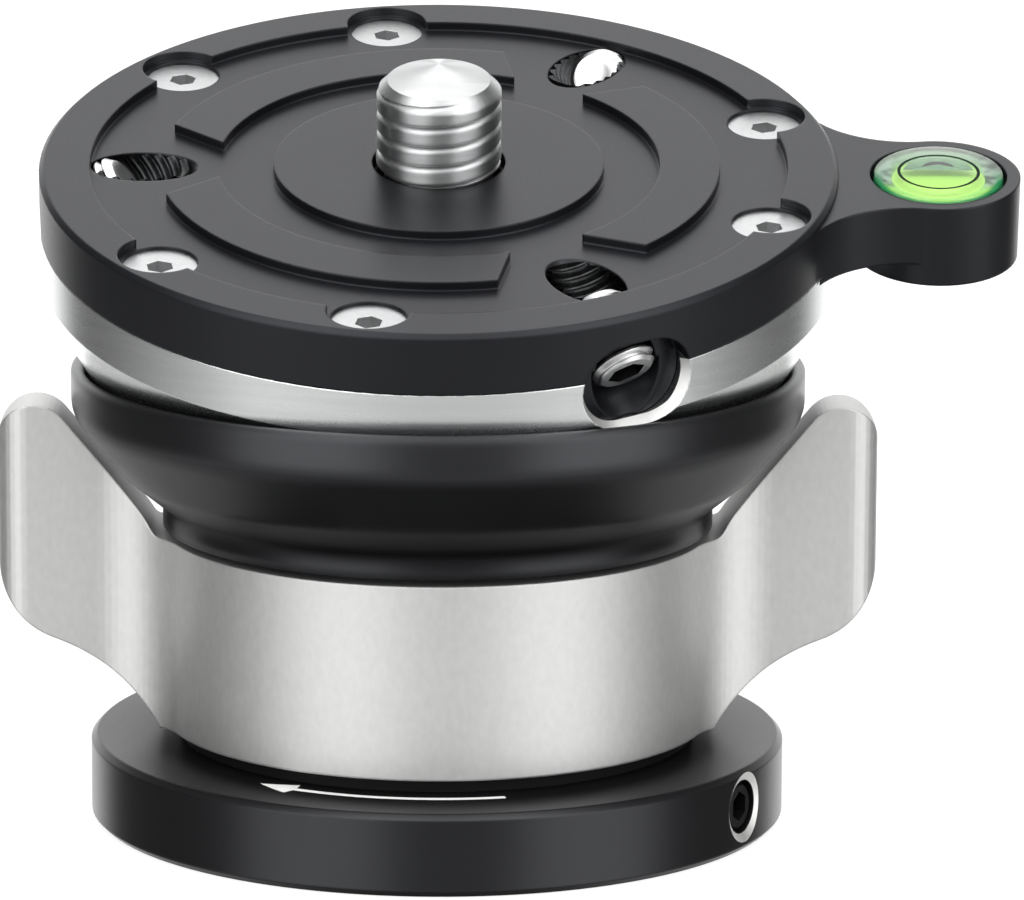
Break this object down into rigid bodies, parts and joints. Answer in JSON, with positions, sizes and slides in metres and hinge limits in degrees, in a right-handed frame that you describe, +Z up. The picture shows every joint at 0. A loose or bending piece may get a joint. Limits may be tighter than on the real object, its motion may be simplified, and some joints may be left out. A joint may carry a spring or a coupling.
{
  "type": "leveling base",
  "caption": "Tripod leveling base: a half ball with a round top plate, stud and spirit level, clamped in a cup by a winged lock ring on a threaded base disc.",
  "frame": {"origin": "centre of the tripod socket at the base disc's underside", "axes": "+Z up along the socket, +X towards the arm with the vial, -Y the side the head is tipped to"},
  "size_m": [0.0768, 0.06, 0.0576],
  "materials": {
    "black_anodised": "bead-blasted, black anodised, satin",
    "plate_black": "turned and black anodised, satin",
    "silver_anodised": "turned, clear anodised, satin",
    "plain_aluminium": "turned",
    "stainless": "turned",
    "spring_steel": "blued",
    "bearing_polymer": "moulded",
    "vial_acrylic": "clear, polished",
    "vial_fluid": "tinted liquid",
    "vial_air": "air",
    "vial_white": "moulded"
  },
  "bodies": {
    "base": {"base_disc": "black_anodised", "tripod_bush": "stainless", "center_post": "plain_aluminium", "post_screws": "stainless", "thrust_washer": "bearing_polymer", "ring_retainer": "plain_aluminium", "retaining_clip": "spring_steel", "guide_pins": "stainless", "tie_bolt": "spring_steel", "clamp_washer": "stainless"},
    "base_screw": {"base_set_screw": "stainless"},
    "ring": {"lock_ring": "silver_anodised"},
    "collar": {"cup": "black_anodised", "cup_liner": "bearing_polymer"},
    "clamp": {"clamp_cap": "plain_aluminium"},
    "liner": {"ball_liner": "bearing_polymer"},
    "head": {"half_ball": "silver_anodised", "top_plate": "plate_black", "plate_screws": "stainless", "camera_stud": "stainless", "stud_ring_nut": "stainless", "vial_body": "vial_acrylic", "vial_fluid": "vial_fluid", "vial_bubble": "vial_air", "vial_backing": "vial_white"},
    "set_screw_a": {"plate_set_screw_a": "stainless"},
    "set_screw_b": {"plate_set_screw_b": "stainless"},
    "set_screw_c": {"plate_set_screw_c": "stainless"}
  },
  "joints": [
    {"name": "lock_turn", "type": "hinge", "parent": "base", "child": "ring", "pos_m": [0, 0, 0], "axis": [0, 0, 1], "range_deg": [0, 75]},
    {"name": "cup_lift", "type": "slide", "parent": "base", "child": "collar", "axis": [0, 0, 1], "range_m": [-0.00032, 0]},
    {"name": "tilt_direction", "type": "hinge", "parent": "base", "child": "clamp", "pos_m": [0, 0, 0.0523], "axis": [0, 0, 1], "continuous": true},
    {"name": "tilt", "type": "hinge", "parent": "clamp", "child": "liner", "pos_m": [0, 0, 0.0523], "axis": [1, 0, 0], "range_deg": [-30, 0]},
    {"name": "pan", "type": "hinge", "parent": "liner", "child": "head", "pos_m": [0, 0, 0.0523], "axis": [0, -0.2588, 0.9659], "continuous": true},
    {"name": "base_screw_travel", "type": "slide", "parent": "base", "child": "base_screw", "axis": [0.8746, -0.4848, 0], "range_m": [0, 0.0012]},
    {"name": "set_screw_a_travel", "type": "slide", "parent": "head", "child": "set_screw_a", "axis": [-0.4003, -0.8063, 0.4355], "range_m": [0, 0.004]},
    {"name": "set_screw_b_travel", "type": "slide", "parent": "head", "child": "set_screw_b", "axis": [0.777, -0.176, 0.6044], "range_m": [0, 0.004]},
    {"name": "set_screw_c_travel", "type": "slide", "parent": "head", "child": "set_screw_c", "axis": [-0.3768, 0.4937, 0.7838], "range_m": [0, 0.004]}
  ],
  "couplings": [
    {"joint": "cup_lift", "follows": "lock_turn", "m_per_rad": -0.00023873}
  ]
}
